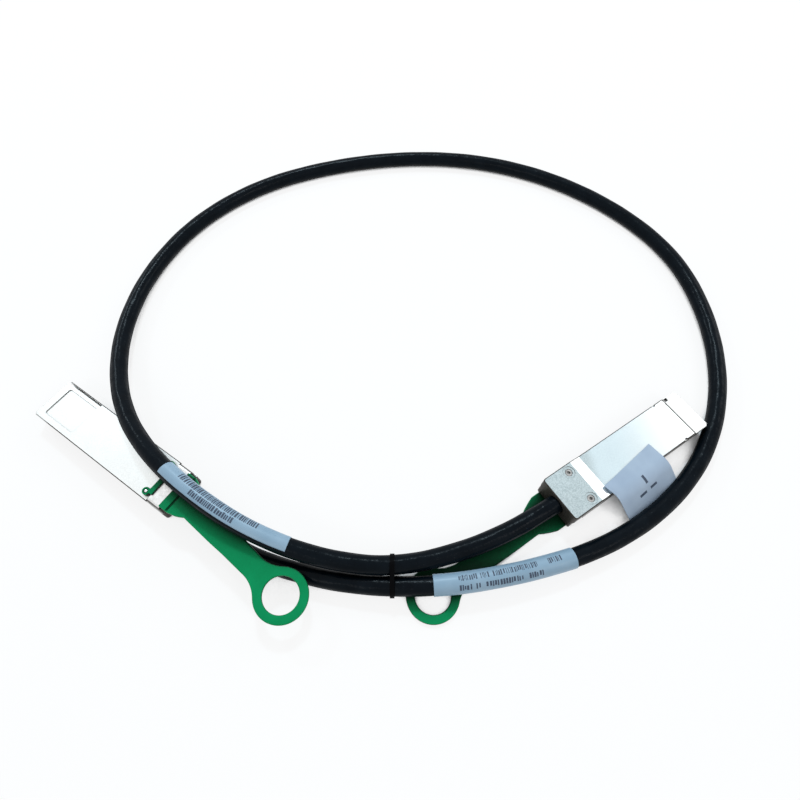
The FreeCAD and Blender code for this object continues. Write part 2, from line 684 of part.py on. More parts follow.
def latch_slider(tag, place):
    """One bent steel piece: a strap over the tab and an arm down each side."""
    body = add_body(tag + "latch_slider", place)
    inner = "arm_outer-sheet"
    strap = [("-arm_outer", "strap_outer_z"), ("arm_outer", "strap_outer_z"),
             ("arm_outer", "arm_high"), (inner, "arm_high"),
             (inner, "strap_outer_z+sheet"), ("-(%s)" % inner, "strap_outer_z+sheet"),
             ("-(%s)" % inner, "arm_high"), ("-arm_outer", "arm_high")]
    pad(body, "Strap", "YZ_Plane", "strap_start", "strap_end-strap_start", loops=[strap])
    outer_z = value_of("strap_outer_z")
    inner_z = value_of("strap_outer_z+sheet")
    far = value_of(inner) - 0.01
    dress(body, "Fillet", "OuterBends", "bend_outer",
          lambda e: level(e, outer_z) and abs(e.BoundBox.YMin) > far and e.BoundBox.YLength < 1e-6)
    dress(body, "Fillet", "InnerBends", "bend_outer-sheet",
          lambda e: level(e, inner_z) and abs(e.BoundBox.YMin) > far and e.BoundBox.YLength < 1e-6)
    pad(body, "Arms", "XY_Plane", "arm_low", "arm_high-arm_low",
        loops=both_sides("strap_end-0.5", "arm_end", inner, "arm_outer"))
    bumps = [[("bump_start", "arm_outer-0.1"), ("arm_end", "arm_outer-0.1"),
              ("arm_end", "bump_outer"), ("bump_start+1", "bump_outer")]]
    bumps.append([(x, "-(%s)" % y) for x, y in bumps[0]])
    pad(body, "Bumps", "XY_Plane", "arm_low", "arm_high-arm_low", loops=bumps)
    pad(body, "Tangs", "XY_Plane", "tang_low", "tang_high-tang_low",
        loops=both_sides("tang_start", "tang_end", "tang_inner", inner + "+0.1"))
    return body


def return_springs(tag, place):
    springs = []
    for side in (-1, 1):
        name = "%sspring_%s" % (tag, "left" if side > 0 else "right")
        coil = doc.addObject("Part::Helix", name + "_coil")
        coil.setExpression("Pitch", bound("spring_pitch"))
        coil.setExpression("Height", bound("spring_length-2*spring_wire"))
        coil.setExpression("Radius", bound("spring_radius"))
        wire = doc.addObject("Part::Circle", name + "_wire")
        wire.setExpression("Radius", bound("spring_wire"))
        wire.Placement = Placement(Vector(value_of("spring_radius"), 0, 0),
                                   Rotation(Vector(1, 0, 0), 90))
        doc.recompute()
        sweep = doc.addObject("Part::Sweep", name)
        sweep.Sections = [wire]
        sweep.Spine = (coil, ["Edge%d" % (i + 1) for i in range(len(coil.Shape.Edges))])
        sweep.Solid = True
        sweep.Frenet = True
        sweep.Placement = Placement(
            Vector(value_of("spring_start+spring_wire"), side * value_of("spring_y"),
                   value_of("spring_z")), Rotation(Vector(0, 1, 0), 90))
        springs.append(sweep)
    doc.recompute()
    return add_group(tag + "return_springs", springs, place)


def tab_root(tag):
    """The part of the pull tab that is moulded round the strap."""
    body = add_body(tag + "tab_root", Placement())
    thick = "tab_low-tab_high"
    shoulder = [("strap_start+bar_lap", "-shoulder_half"), ("strap_start+bar_lap", "shoulder_half"),
                ("shoulder_x", "shoulder_half"),
                ("shoulder_x-shoulder_run", "shoulder_half-shoulder_drop"),
                ("shoulder_x-neck_run", "shoulder_half-neck_drop"),
                ("shoulder_x-root_length", "stem_half"),
                ("shoulder_x-root_length", "-stem_half"),
                ("shoulder_x-neck_run", "neck_drop-shoulder_half"),
                ("shoulder_x-shoulder_run", "shoulder_drop-shoulder_half"),
                ("shoulder_x", "-shoulder_half")]
    pad(body, "Shoulder", "XY_Plane", "tab_high", thick, loops=[shoulder])
    top = value_of("tab_high")
    dress(body, "Fillet", "ShoulderEdge", "tab_round", lambda e: level(e, top))
    pad(body, "Web", "XY_Plane", "web_outer", "tab_low-web_outer",
        loops=[rectangle("strap_start", "strap_end", "-web_half", "web_half")])
    pad(body, "FrontBar", "XY_Plane", "tab_high", thick,
        loops=[rectangle("strap_end-bar_lap", "front_bar_end", "-front_bar_half",
                         "front_bar_half")])
    pad(body, "Bosses", "XY_Plane", "tab_high", thick,
        circles=[("boss_x", "front_bar_half", "boss_radius"),
                 ("boss_x", "-front_bar_half", "boss_radius")])
    pocket_up(body, "BossHoles", "XY_Plane", "tab_high-1", thick + "+2",
              circles=[("boss_x", "front_bar_half", "boss_hole"),
                       ("boss_x", "-front_bar_half", "boss_hole")])
    pocket_up(body, "Groove", "XY_Plane", "tab_high-1", "groove_depth+1",
              loops=[rectangle("shoulder_x", "rear_bar_start", "-half_width", "half_width")])
    bend = "arm_outer-bend_outer"
    pocket_up(body, "StrapSlot", "XY_Plane", "strap_outer_z", "sheet",
              loops=[rectangle("strap_start", "strap_end", "-(%s)" % bend, bend)])
    pocket_up(body, "BendRelief", "XY_Plane", "strap_outer_z", "bend_outer",
              loops=both_sides("strap_start", "strap_end", bend, "half_width"))
    return body


def tab_stem(tag, hang):
    """Stem and finger ring, hung from the root at an angle."""
    body = add_body(tag + "tab_stem", Placement())
    thick = "tab_low-tab_high"
    joint = "ring_x+sqrt((ring_outer+flare)*(ring_outer+flare)-(stem_waist+flare)*(stem_waist+flare))"
    touch_x = "ring_x+(%s-ring_x)*ring_outer/(ring_outer+flare)" % joint
    touch_y = "(stem_waist+flare)*ring_outer/(ring_outer+flare)"
    half = [("stem_start+1", "stem_half"), ("stem_mid", "stem_half"), (joint, "stem_waist"),
            (touch_x, touch_y)]
    outline = half + [(x, "-(%s)" % y) for x, y in reversed(half)]
    pad(body, "Stem", "XY_Plane", "tab_high", thick, loops=[outline])
    pad(body, "Ring", "XY_Plane", "tab_high", thick, circles=[("ring_x", "0", "ring_outer")])
    sides = [(joint, "stem_waist+flare", "flare"), (joint, "-(stem_waist+flare)", "flare")]
    pocket_up(body, "Flares", "XY_Plane", "tab_high-1", thick + "+2", circles=sides)
    pocket_up(body, "FingerHole", "XY_Plane", "tab_high-1", thick + "+2",
              circles=[("ring_x", "0", "ring_inner")])
    top = value_of("tab_high")
    low = value_of("tab_low")
    dress(body, "Fillet", "Edges", "tab_round",
          lambda e: (level(e, top) or level(e, low)) and e.BoundBox.XMin < value_of("stem_start"))
    bend, droop = hang
    turn = Rotation(Vector(0, 0, 1), bend).multiply(Rotation(Vector(0, 1, 0), droop))
    pivot = Vector(value_of("stem_start"), 0, value_of("(tab_low+tab_high)/2"))
    body.Placement = Placement(pivot, turn).multiply(Placement(pivot * -1, Rotation()))
    return body


def pull_tab(tag, place, hang):
    tab = doc.addObject("Part::MultiFuse", tag + "pull_tab")
    tab.Label = tag + "pull_tab"
    tab.Shapes = [tab_root(tag), tab_stem(tag, hang)]
    tab.Placement = place
    return tab


def connector(tag, where, hang):
    place = plug_placement(where)
    return [
        base_housing(tag, place),
        cover_housing(tag, place),
        cover_screws(tag, place),
        paddle_card(tag, place),
        contact_pads(tag, place),
        memory_chip(tag, place),
        wire_pairs(tag, place),
        crimp_ferrule(tag, place),
        latch_slider(tag, place),
        return_springs(tag, place),
        pull_tab(tag, place, hang),
    ]


# ---------------------------------------------------------------- cable and what is on it

def cable_route():
    ends = []
    for where in (PLUG_A, PLUG_B):
        place = plug_placement(where)
        axis = value_of("parting")
        inside = place.multVec(Vector(value_of("cable_inset"), 0, axis))
        outside = place.multVec(Vector(CABLE_LEAD, 0, axis))
        ends.append((inside, outside))
    points = [ends[0][0], ends[0][1]]
    points += [Vector(*spot) for spot in LOOP]
    return points + [ends[1][1], ends[1][0]]


def cable(path):
    spine = doc.addObject("Part::Feature", "cable_path")
    spine.Shape = path
    section = doc.addObject("Part::Circle", "cable_section")
    section.setExpression("Radius", bound("cable_diameter/2"))
    start = path.OrderedEdges[0]
    heading = start.tangentAt(start.FirstParameter)
    section.Placement = Placement(start.valueAt(start.FirstParameter),
                                  Rotation(Vector(0, 0, 1), heading))
    doc.recompute()
    sweep = doc.addObject("Part::Sweep", "cable_jacket")
    sweep.Label = "cable_jacket"
    sweep.Sections = [section]
    sweep.Spine = (spine, ["Edge%d" % (i + 1) for i in range(len(path.Edges))])
    sweep.Solid = True
    doc.recompute()
    return sweep


def wrap_label(label, path, begin, length):
    """A sleeve round the cable, following its path."""
    part = stretch(path, value_of(begin), value_of(length))
    sleeve = tube(part, value_of("label_outer")).cut(tube(part, value_of("label_inner")))
    return add_shape(label, sleeve, Placement())


def strand_centres(path):
    """Where the two strands cross the plane of the tie, as (y, z)."""
    found = []
    for edge in path.OrderedEdges:
        box = edge.BoundBox
        if box.XMin <= TIE_X < box.XMax and box.YMax < 0:
            low, high = edge.ParameterRange
            rising = edge.valueAt(high).x > edge.valueAt(low).x
            for _ in range(40):
                middle = (low + high) / 2
                if (edge.valueAt(middle).x < TIE_X) == rising:
                    low = middle
                else:
                    high = middle
            found.append(edge.valueAt(low))
    return sorted(found, key=lambda spot: spot.y)


def oval(first, second, radius, width):
    """Solid round two parallel strands, with flat sides between them."""
    back = Vector(width / 2, 0, 0)
    axis = Vector(1, 0, 0)
    ends = [Part.makeCylinder(radius, width, spot - back, axis) for spot in (first, second)]
    gap = second - first
    gap.x = 0
    side = gap.cross(axis).normalize() * radius
    corners = [first + side, second + side, second - side, first - side, first + side]
    between = Part.Face(Part.makePolygon([spot - back for spot in corners]))
    return ends[0].fuse([ends[1], between.extrude(axis * width)]).removeSplitter()


def cable_tie(path):
    lower, upper = strand_centres(path)
    lower.x = upper.x = TIE_X
    inner = value_of("tie_inner")
    width = value_of("tie_width")
    band = oval(lower, upper, inner + value_of("tie_band"), width)
    band = band.cut(oval(lower, upper, inner, width + 1))
    head = value_of("tie_head")
    height = value_of("tie_head_height")
    corner = Vector(TIE_X - head / 2, upper.y - head / 2 + 1, upper.z - inner - height)
    lock = Part.makeBox(head, head, height, corner)
    lock = lock.cut(oval(lower, upper, inner + value_of("tie_band") / 2, head + 1))
    return add_shape("cable_tie", band.fuse(lock).removeSplitter(), Placement())


def flag_label(where):
    """Paper flag: stuck to the cover, folded over its edge, hanging beside it."""
    turn = math.radians(value_of("flag_turn"))
    slope = math.radians(value_of("flag_slope"))
    width = value_of("flag_width") / math.cos(turn)
    height = value_of("flag_height")
    paper = value_of("flag_paper")
    fold = value_of("-half_width-flag_overhang")
    top = value_of("cover_top") + value_of("flag_lift")
    edge = Vector(-math.cos(turn), -math.sin(turn), 0)
    down = Vector(math.sin(turn), -math.cos(turn), 0)
    near = Vector(value_of("flag_corner_x"), value_of("flag_corner_y"), top)
    far = near + edge * width
    fold_line = []
    used = []
    for corner in (near, far):
        reach = (corner.y - fold) / math.cos(turn)
        fold_line.append(corner + down * reach)
        used.append(reach)
    flat = Part.Face(Part.makePolygon([near, far, fold_line[1], fold_line[0], near]))
    stuck = flat.extrude(Vector(0, 0, paper))
    fall = Vector(down.x, down.y * math.cos(slope), down.y * math.sin(slope))
    hang = [fold_line[0] + fall * (height - used[0]), fold_line[1] + fall * (height - used[1])]
    sheet = Part.Face(Part.makePolygon([fold_line[0], fold_line[1], hang[1], hang[0],
                                        fold_line[0]]))
    outward = Vector(0, -math.sin(slope), math.cos(slope))
    free = sheet.extrude(outward * paper)
    wedge = Part.Face(Part.makePolygon([fold_line[0], fold_line[0] + Vector(0, 0, paper),
                                        fold_line[0] + outward * paper, fold_line[0]]))
    seam = wedge.extrude(fold_line[1] - fold_line[0])
    shape = stuck.fuse([free, seam]).removeSplitter()
    return add_shape("flag_label", shape, plug_placement(where))


# ---------------------------------------------------------------- the assembly

def report_path(path, radii):
    print("path %.1f mm, smallest radius %.1f mm" % (path.Length, min(radii)))
    print("radii", " ".join("%.0f" % radius for radius in radii))


def check_and_write(nodes):
    doc.recompute()
    for item in doc.Objects:
        bad = [word for word in item.State if word in ("Invalid", "Error")]
        if bad:
            raise ValueError("%s is %s" % (item.Label, bad))
    os.makedirs("parts", exist_ok=True)
    for node in nodes:
        shape = node.Shape
        if shape.isNull() or not shape.isValid() or not shape.Solids:
            raise ValueError("no good shape for " + node.Label)
        box = shape.BoundBox
        print("%-26s %2d solids %9.2f mm3  z %.2f to %.2f" % (
            node.Label, len(shape.Solids), shape.Volume, box.ZMin, box.ZMax))
        shape.exportStep("parts/%s.step" % node.Label)


sizes = fill_sheet()
nodes = connector("plug_a_", PLUG_A, TAB_A) + connector("plug_b_", PLUG_B, TAB_B)
route, turns = turned_path(cable_route())
report_path(route, turns)
jacket = cable(route)
print("cable volume / section x length: %.4f" % (
    jacket.Shape.Volume / (math.pi * value_of("cable_diameter") ** 2 / 4 * route.Length)))
nodes.append(jacket)
nodes.append(wrap_label("wrap_label_a", route, "label_a_from", "label_a_length"))
nodes.append(wrap_label("wrap_label_b", route, "label_b_from", "label_b_length"))
nodes.append(cable_tie(route))
nodes.append(flag_label(PLUG_B))
check_and_write(nodes)
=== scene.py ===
# Direct attach copper cable: camera, cable, print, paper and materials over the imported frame.
import math
import random

import bpy
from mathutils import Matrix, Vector


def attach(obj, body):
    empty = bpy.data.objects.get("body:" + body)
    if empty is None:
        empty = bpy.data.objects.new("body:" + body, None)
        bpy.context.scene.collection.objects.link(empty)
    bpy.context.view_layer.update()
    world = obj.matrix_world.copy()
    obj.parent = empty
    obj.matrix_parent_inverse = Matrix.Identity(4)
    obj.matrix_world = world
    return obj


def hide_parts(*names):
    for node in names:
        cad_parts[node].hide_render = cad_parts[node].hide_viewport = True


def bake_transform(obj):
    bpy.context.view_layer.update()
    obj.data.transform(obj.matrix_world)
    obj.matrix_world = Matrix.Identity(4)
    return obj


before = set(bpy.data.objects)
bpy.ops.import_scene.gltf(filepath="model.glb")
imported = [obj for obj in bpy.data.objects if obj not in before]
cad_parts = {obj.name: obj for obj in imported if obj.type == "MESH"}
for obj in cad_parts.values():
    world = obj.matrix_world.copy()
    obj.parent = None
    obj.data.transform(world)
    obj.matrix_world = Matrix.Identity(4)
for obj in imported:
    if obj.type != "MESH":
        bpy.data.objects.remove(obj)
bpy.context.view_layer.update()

MM = 0.001
PLUGS = ("plug_a_", "plug_b_")
scene = bpy.context.scene


# ---------------------------------------------------------------- camera

CAMERA_PLACE = (0.01245, -0.06775, 0.209)
CAMERA_TILT = math.radians(28)          # away from straight down
CAMERA_LENS = 25                        # millimetres, for the sensor below
CAMERA_SENSOR = 36


def add_camera():
    data = bpy.data.cameras.new("camera")
    data.sensor_width = CAMERA_SENSOR
    data.lens = CAMERA_LENS
    data.clip_start = 0.005
    data.clip_end = 20
    camera = bpy.data.objects.new("camera", data)
    camera.location = CAMERA_PLACE
    camera.rotation_euler = (CAMERA_TILT, 0, 0)
    scene.collection.objects.link(camera)
    scene.camera = camera


add_camera()


# ---------------------------------------------------------------- materials

class Nodes:
    """A short way to write a node material."""

    def __init__(self, name, colour, roughness, metallic=0.0):
        self.material = bpy.data.materials.new(name)
        self.material.use_nodes = True
        self.tree = self.material.node_tree
        self.shader = self.tree.nodes["Principled BSDF"]
        self.shader.inputs["Base Color"].default_value = (*colour, 1)
        self.shader.inputs["Roughness"].default_value = roughness
        self.shader.inputs["Metallic"].default_value = metallic

    def add(self, kind, **values):
        node = self.tree.nodes.new("ShaderNode" + kind)
        for key, value in values.items():
            if key in node.bl_rna.properties:
                setattr(node, key, value)
            else:
                node.inputs[key.replace("_", " ")].default_value = value
        return node

    def link(self, source, target):
        self.tree.links.new(source, target)

    def place(self, stretch=(1, 1, 1), uv=False):
        """Texture coordinates, in metres of the part or along a label's own sheet."""
        where = self.add("TexCoord").outputs["UV" if uv else "Object"]
        mapping = self.add("Mapping")
        mapping.inputs["Scale"].default_value = stretch
        self.link(where, mapping.inputs["Vector"])
        return mapping.outputs["Vector"]

    def noise(self, scale, detail=3.0, stretch=(1, 1, 1), uv=False):
        node = self.add("TexNoise", Scale=scale, Detail=detail)
        self.link(self.place(stretch, uv), node.inputs["Vector"])
        return node.outputs["Fac"]

    def ramp(self, source, low, high, first, second):
        node = self.add("ValToRGB")
        node.color_ramp.elements[0].position = low
        node.color_ramp.elements[0].color = (*first, 1)
        node.color_ramp.elements[1].position = high
        node.color_ramp.elements[1].color = (*second, 1)
        self.link(source, node.inputs["Fac"])
        return node.outputs["Color"]

    def span(self, source, low, high):
        """The source's 0 to 1, drawn out from `low` to `high`."""
        node = self.add("MapRange")
        node.inputs["To Min"].default_value = low
        node.inputs["To Max"].default_value = high
        self.link(source, node.inputs["Value"])
        return node.outputs["Result"]

    def eased(self, source, low, high, first=0.0, second=1.0):
        """`first` where the source is under `low`, `second` over `high`, smooth between."""
        node = self.add("MapRange", interpolation_type="SMOOTHSTEP")
        node.inputs["From Min"].default_value = low
        node.inputs["From Max"].default_value = high
        node.inputs["To Min"].default_value = first
        node.inputs["To Max"].default_value = second
        self.link(source, node.inputs["Value"])
        return node.outputs["Result"]

    def bump(self, height, depth, strength=1.0, over=None):
        """Relief `depth` metres deep, on top of the normal `over` where there is one."""
        node = self.add("Bump", Strength=strength, Distance=depth)
        self.link(height, node.inputs["Height"])
        if over is not None:
            self.link(over, node.inputs["Normal"])
        self.link(node.outputs["Normal"], self.shader.inputs["Normal"])
        return node.outputs["Normal"]

    def mix(self, share, first, second, kind="MIX"):
        """Two colours mixed; a share of None is a whole one."""
        node = self.add("Mix", data_type="RGBA", blend_type=kind)
        factor, a, b = [socket for socket in node.inputs if socket.enabled]
        if share is None:
            factor.default_value = 1.0
        else:
            self.link(share, factor)
        self.link(first, a)
        self.link(second, b)
        return [socket for socket in node.outputs if socket.enabled][0]

    def rgb(self, colour):
        node = self.add("RGB")
        node.outputs["Color"].default_value = (*colour, 1)
        return node.outputs["Color"]

    def facing_up(self, low, high):
        """0 on walls that stand upright, 1 on faces that lie flat."""
        split = self.add("SeparateXYZ")
        self.link(self.add("NewGeometry").outputs["Normal"], split.inputs["Vector"])
        size = self.add("Math", operation="ABSOLUTE")
        self.link(split.outputs["Z"], size.inputs[0])
        return self.eased(size.outputs[0], low, high)

    def openness(self, reach, samples):
        """1 in the open, toward 0 where other surfaces stand within `reach` metres."""
        node = self.add("AmbientOcclusion", samples=samples)
        node.inputs["Distance"].default_value = reach
        return node.outputs["AO"]

    def painted_seam_shade(self, colour, reach, dark):
        """The colour, down to `dark` of itself where surfaces close in: painted shade in seams
        and recesses.
        """
        return self.mix(None, colour, self.span(self.openness(reach, 6), dark, 1.0), "MULTIPLY")

    def painted_shade(self, colour, reach, low, high, dark):
        """The colour, down to `dark` of itself where less than `low` of the sky is open: painted
        shade under and between parts.
        """
        light = self.eased(self.openness(reach, 8), low, high, dark)
        return self.mix(None, colour, light, "MULTIPLY")

    def away(self, near, far):
        """0 up to `near` metres from the middle of the part, 1 from `far` metres on."""
        size = self.add("VectorMath", operation="LENGTH")
        self.link(self.add("TexCoord").outputs["Object"], size.inputs[0])
        return self.eased(size.outputs["Value"], near, far)

    def dulled_edge(self, roughness, most):
        """The roughness, rising to `most` where the surface turns away from the eye."""
        turn = self.add("LayerWeight")
        turn.inputs["Blend"].default_value = 0.5
        larger = self.add("Math", operation="MAXIMUM")
        self.link(roughness, larger.inputs[0])
        self.link(self.eased(turn.outputs["Facing"], 0.45, 0.95, 0.0, most), larger.inputs[1])
        return larger.outputs[0]

    def worn_edges(self, radius):
        """The normal, rounded off at edges over `radius` metres."""
        node = self.add("Bevel", samples=4)
        node.inputs["Radius"].default_value = radius
        return node.outputs["Normal"]

    def colour(self, source):
        self.link(source, self.shader.inputs["Base Color"])

    def rough(self, source, low, high):
        self.link(self.span(source, low, high), self.shader.inputs["Roughness"])

    def specular(self, level):
        self.shader.inputs["Specular IOR Level"].default_value = level


# How far parts of a connector lie from the middle of the part, in metres.
SLOPE = (0.0845, 0.09)                  # from the raised block down to the cover's face
COVER_FACE = (0.095, 0.135)             # from the slope to the nose
NOSE_WALLS = (0.13, 0.136)              # the last of the side walls


def cast_metal():
    """Nickel over a fine die-cast grain, duller on the side walls, which are painted dark as
    shade, with painted shade in the seams.
    """
    m = Nodes("cast_metal", (0.8, 0.81, 0.8), 0.36, 1.0)
    grain = m.noise(2000, 4)
    face = m.ramp(grain, 0.3, 0.65, (0.7, 0.715, 0.705), (0.78, 0.79, 0.78))
    dress_casting(m, grain, face)
    return m.material


def cover_metal():
    """The same casting, satin at the rear block, with a painted highlight that brightens it
    toward the nose and whitens the slope.
    """
    m = Nodes("cover_metal", (0.7, 0.73, 0.72), 0.36, 1.0)
    grain = m.noise(2300, 4)
    # The satin rear block is the casting's own rougher finish; the brightening from it toward the
    # nose and the white on tilted faces are painted highlight.
    satin = m.ramp(grain, 0.33, 0.6, (0.34, 0.415, 0.435), (0.51, 0.59, 0.61))
    painted_brighter = m.ramp(grain, 0.3, 0.65, (0.55, 0.65, 0.69), (0.6, 0.7, 0.735))
    white = m.rgb((0.86, 0.87, 0.86))
    along = m.mix(m.away(*SLOPE), satin, painted_brighter)
    along = m.mix(m.away(*COVER_FACE), along, white)
    dress_casting(m, grain, m.mix(m.facing_up(0.972, 0.99), white, along))
    return m.material


def dress_casting(m, grain, face):
    """Walls painted dark as shade and paler at the nose, painted shade in the seams, broken edges
    and the grain's relief.
    """
    flat = m.facing_up(0.74, 0.93)
    # Upright walls painted dark as shade, their painted shade paler on the last of the walls at
    # the nose.
    shaded_wall = m.ramp(grain, 0.3, 0.65, (0.02, 0.017, 0.015), (0.085, 0.075, 0.065))
    pale = m.rgb((0.42, 0.42, 0.41))
    side = m.mix(m.away(*NOSE_WALLS), shaded_wall, pale)
    # Painted shade where walls are closed in by other surfaces, then painted shade in the seams.
    side = m.painted_shade(side, 3 * MM, low=0.1, high=0.5, dark=0.08)
    m.colour(m.painted_seam_shade(m.mix(flat, side, face), 0.9 * MM, dark=0.42))
    m.link(m.span(flat, 0.35, 1.0), m.shader.inputs["Metallic"])
    m.specular(0.05)
    m.rough(m.noise(150, 2), 0.3, 0.44)
    m.bump(grain, 0.04 * MM, 0.3, over=m.worn_edges(0.12 * MM))


def stamped_steel():
    """Bright spring steel with faint rolling lines, its upright faces painted dark as shade and
    painted shade in the seams.
    """
    m = Nodes("stamped_steel", (0.76, 0.76, 0.75), 0.3, 1.0)
    lines = m.noise(900, 3, (1, 1, 6))
    face = m.ramp(lines, 0.35, 0.65, (0.66, 0.66, 0.65), (0.8, 0.8, 0.79))
    # Upright faces painted dark as shade, and painted shade in the seams below.
    shaded_wall = m.ramp(lines, 0.35, 0.65, (0.05, 0.044, 0.038), (0.12, 0.105, 0.095))
    flat = m.facing_up(0.72, 0.9)
    m.colour(m.painted_seam_shade(m.mix(flat, shaded_wall, face), 0.6 * MM, dark=0.35))
    m.link(m.span(flat, 0.4, 1.0), m.shader.inputs["Metallic"])
    m.rough(m.noise(260, 2), 0.24, 0.4)
    m.bump(m.noise(1500, 2), 0.03 * MM, 0.5, over=m.worn_edges(0.08 * MM))
    return m.material


def dark_steel():
    m = Nodes("dark_steel", (0.36, 0.36, 0.36), 0.3, 1.0)
    tone = m.ramp(m.noise(700, 3), 0.3, 0.7, (0.3, 0.3, 0.3), (0.52, 0.52, 0.51))
    # Painted shade where surfaces close in.
    m.colour(m.painted_seam_shade(tone, 0.9 * MM, dark=0.12))
    m.rough(m.noise(1800, 2), 0.22, 0.42)
    return m.material


def green_moulding():
    """Glass-filled nylon with a fine spark-eroded skin."""
    m = Nodes("green_moulding", (0.003, 0.29, 0.1), 0.42)
    tone = m.ramp(m.noise(120, 3), 0.3, 0.7, (0.001, 0.255, 0.086), (0.002, 0.305, 0.106))
    # Painted shade in the seams, and a wide painted shadow where the cable and other parts cover
    # the tab.
    tone = m.painted_seam_shade(tone, 0.9 * MM, dark=0.35)
    m.colour(m.painted_shade(tone, 16 * MM, low=0.42, high=0.97, dark=0.08))
    m.rough(m.noise(500, 2), 0.36, 0.52)
    m.bump(m.noise(2600, 3), 0.03 * MM, 0.45)
    m.specular(0.09)
    return m.material


def jacket():
    """Soft black PVC: lumpy over the pairs, finely grained, with a few pale scuffs and painted
    shade where other surfaces close in.
    """
    m = Nodes("jacket", (0.0025, 0.0035, 0.005), 0.3)
    tone = m.ramp(m.noise(190, 3), 0.3, 0.7, (0.0016, 0.0036, 0.006), (0.0034, 0.0064, 0.0098))
    specks = m.ramp(m.noise(1500, 2), 0.74, 0.8, (0, 0, 0), (1, 1, 1))
    scuff = m.rgb((0.06, 0.07, 0.075))
    # Painted shade where the jacket is closed in by the other strand and by other parts.
    m.colour(m.painted_shade(m.mix(specks, tone, scuff), 6 * MM, low=0.2, high=0.8, dark=0.2))
    skin = m.span(m.noise(420, 3), 0.17, 0.34)
    m.link(m.dulled_edge(skin, 0.9), m.shader.inputs["Roughness"])
    lumps = m.bump(m.noise(1, 2.5, (210, 170, 1), uv=True), 0.4 * MM, 0.8)
    m.bump(m.noise(1300, 3), 0.06 * MM, 0.6, over=lumps)
    m.specular(0.055)
    return m.material


def film():
    """Polyester label, slightly wavy where it is wrapped."""
    m = Nodes("film", (0.33, 0.48, 0.6), 0.36)
    m.colour(m.ramp(m.noise(110, 3), 0.3, 0.7, (0.255, 0.385, 0.5), (0.31, 0.44, 0.555)))
    m.rough(m.noise(500, 2), 0.28, 0.44)
    m.bump(m.noise(300, 3), 0.08 * MM, 0.5)
    m.specular(0.4)
    return m.material


def ink():
    """Printed strokes, a little worn."""
    m = Nodes("ink", (0.02, 0.035, 0.075), 0.45)
    m.colour(m.ramp(m.noise(3000, 2), 0.35, 0.72, (0.014, 0.025, 0.055), (0.07, 0.105, 0.16)))
    m.bump(m.noise(2500, 2), 0.01 * MM, 0.3)
    return m.material


def flag_paper():
    m = Nodes("flag_paper", (0.4, 0.46, 0.62), 0.6)
    m.colour(m.ramp(m.noise(130, 4), 0.3, 0.7, (0.385, 0.475, 0.6), (0.445, 0.54, 0.66)))
    m.bump(m.noise(900, 4), 0.04 * MM, 0.5)
    m.rough(m.noise(700, 2), 0.5, 0.7)
    m.specular(0.25)
    return m.material


def tie_plastic():
    m = Nodes("tie_plastic", (0.0015, 0.0015, 0.002), 0.5)
    m.rough(m.noise(700, 2), 0.42, 0.58)
    m.bump(m.noise(1500, 2), 0.03 * MM, 0.4)
    m.specular(0.03)
    return m.material


def solder_mask():
    m = Nodes("solder_mask", (0.01, 0.09, 0.035), 0.3)
    tracks = m.noise(500, 1, (1, 8, 1))
    m.colour(m.ramp(tracks, 0.45, 0.55, (0.008, 0.07, 0.028), (0.014, 0.13, 0.05)))
    m.bump(tracks, 0.02 * MM, 0.4)
    return m.material


def gold():
    m = Nodes("gold", (0.83, 0.58, 0.22), 0.22, 1.0)
    m.rough(m.noise(1800, 2), 0.16, 0.32)
    return m.material


def chip_case():
    m = Nodes("chip_case", (0.016, 0.016, 0.017), 0.55)
    m.bump(m.noise(4000, 3), 0.02 * MM, 0.6)
    return m.material


def foil():
    m = Nodes("foil", (0.72, 0.72, 0.74), 0.34, 1.0)
    m.bump(m.noise(1200, 3, (1, 1, 3)), 0.04 * MM, 0.6)
    m.rough(m.noise(800, 2), 0.26, 0.44)
    return m.material


def brass():
    m = Nodes("brass", (0.62, 0.47, 0.24), 0.32, 1.0)
    m.rough(m.noise(900, 2), 0.24, 0.44)
    m.colour(m.ramp(m.noise(400, 3), 0.3, 0.7, (0.54, 0.4, 0.2), (0.68, 0.52, 0.27)))
    return m.material


METAL = cast_metal()
COVER = cover_metal()
STEEL = stamped_steel()
SCREW = dark_steel()
GREEN = green_moulding()
JACKET = jacket()
FILM = film()
INK = ink()
PAPER = flag_paper()
TIE = tie_plastic()


def paint(obj, *materials):
    obj.data.materials.clear()
    for material in materials:
        obj.data.materials.append(material)


def paint_frame():
    """The look of every piece that is shown as the CAD made it."""
    looks = {
        "base_housing": METAL, "cover_housing": COVER, "cover_screws": SCREW,
        "paddle_card": solder_mask(), "contact_pads": gold(), "memory_chip": chip_case(),
        "wire_pairs": foil(), "crimp_ferrule": brass(), "latch_slider": STEEL,
        "return_springs": SCREW, "pull_tab": GREEN,
    }
    for tag in PLUGS:
        for name, material in looks.items():
            paint(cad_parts[tag + name], material)
    paint(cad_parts["cable_tie"], TIE)


# ---------------------------------------------------------------- the cable's line

